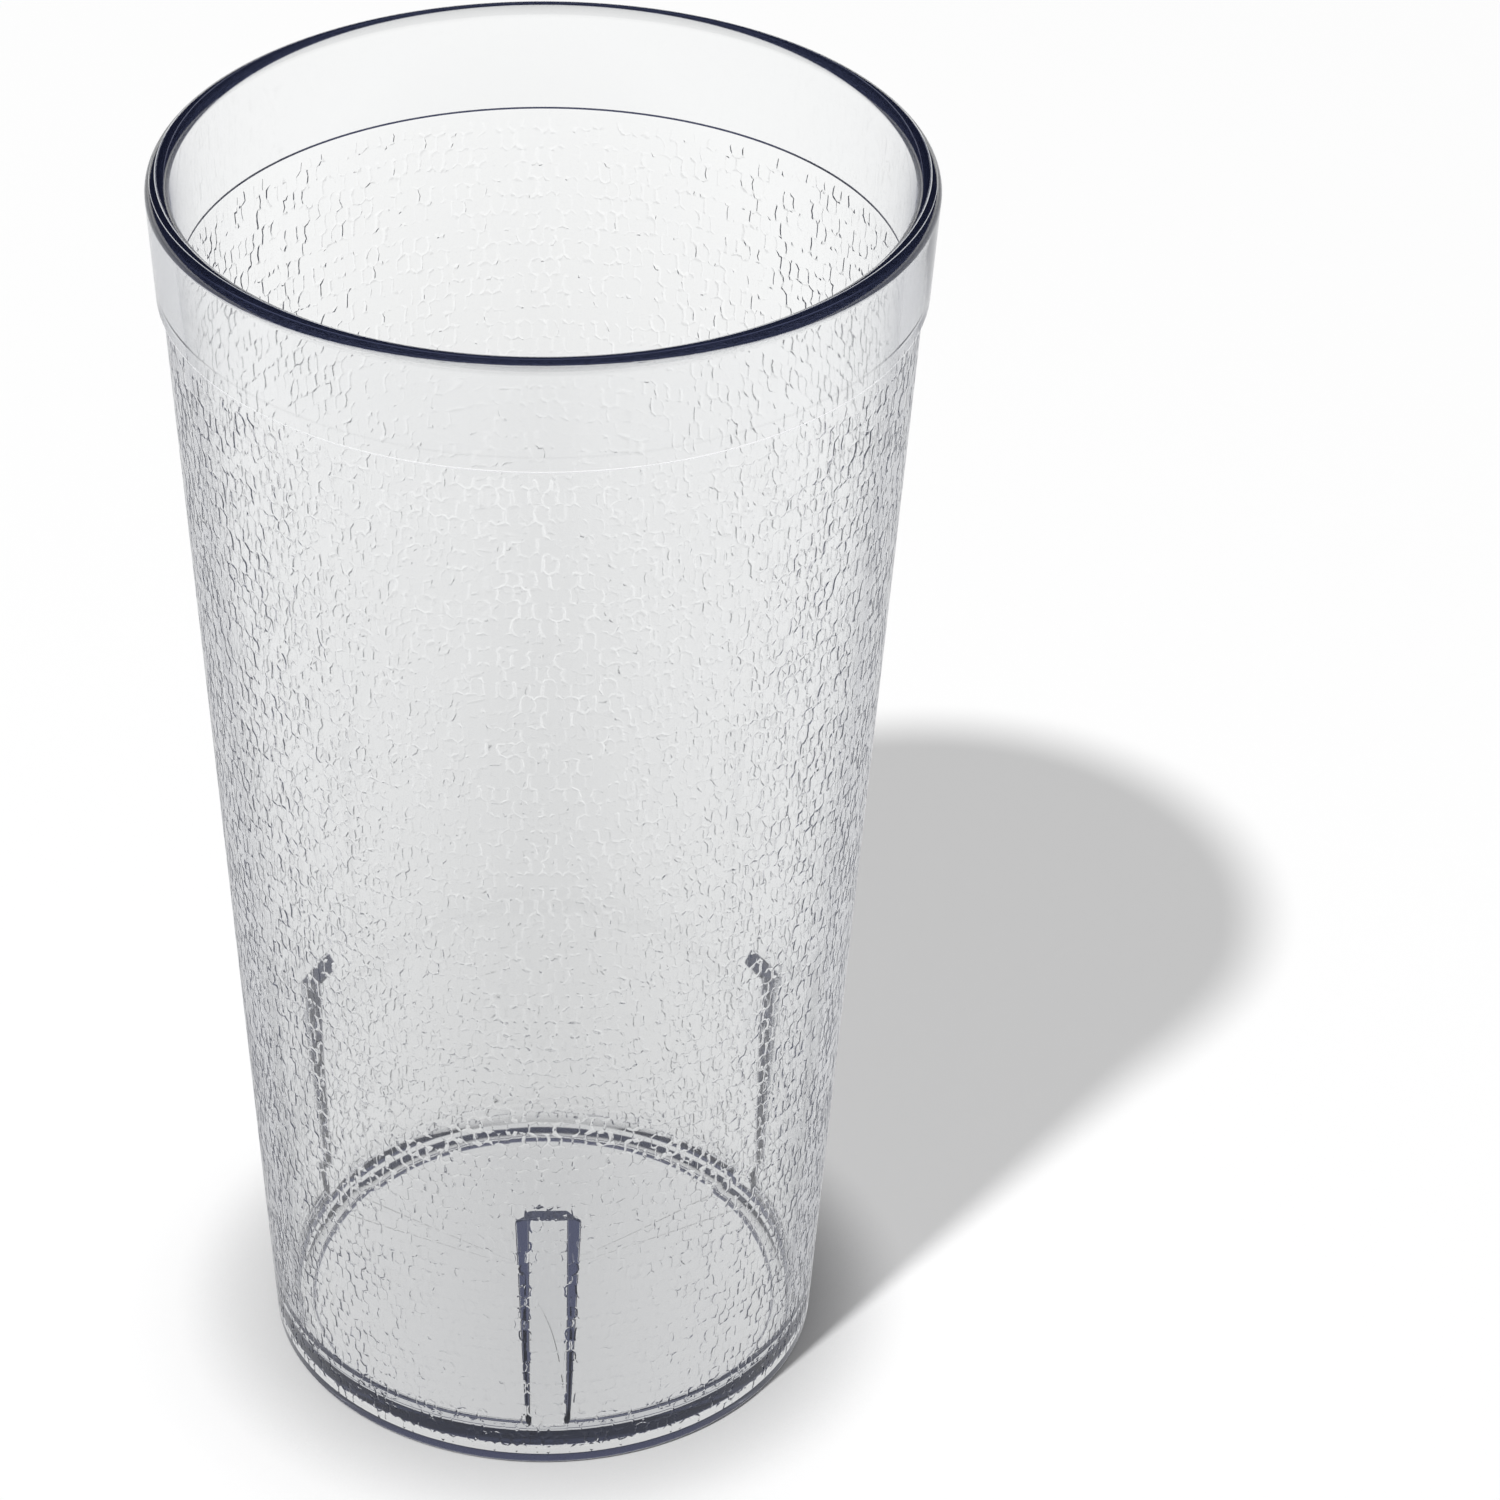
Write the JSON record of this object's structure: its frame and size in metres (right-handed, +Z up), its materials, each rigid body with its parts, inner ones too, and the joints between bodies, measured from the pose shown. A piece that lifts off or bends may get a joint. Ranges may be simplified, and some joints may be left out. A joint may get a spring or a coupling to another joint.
{
  "type": "stacking tumbler",
  "caption": "Clear plastic stacking tumbler with a tapered pebble-grained wall, a smooth rim band, a rounded lip, a foot ring and upright stacking lugs inside.",
  "frame": {"origin": "centre of the foot ring's standing face", "axes": "+Z up along the tumbler's axis, -Y through one of the stacking lugs"},
  "size_m": [0.087, 0.087, 0.1568],
  "materials": {
    "clear_plastic": "gloss, with a pebble grain outside below the rim band"
  },
  "bodies": {
    "root": {"tumbler": "clear_plastic"}
  },
  "joints": []
}
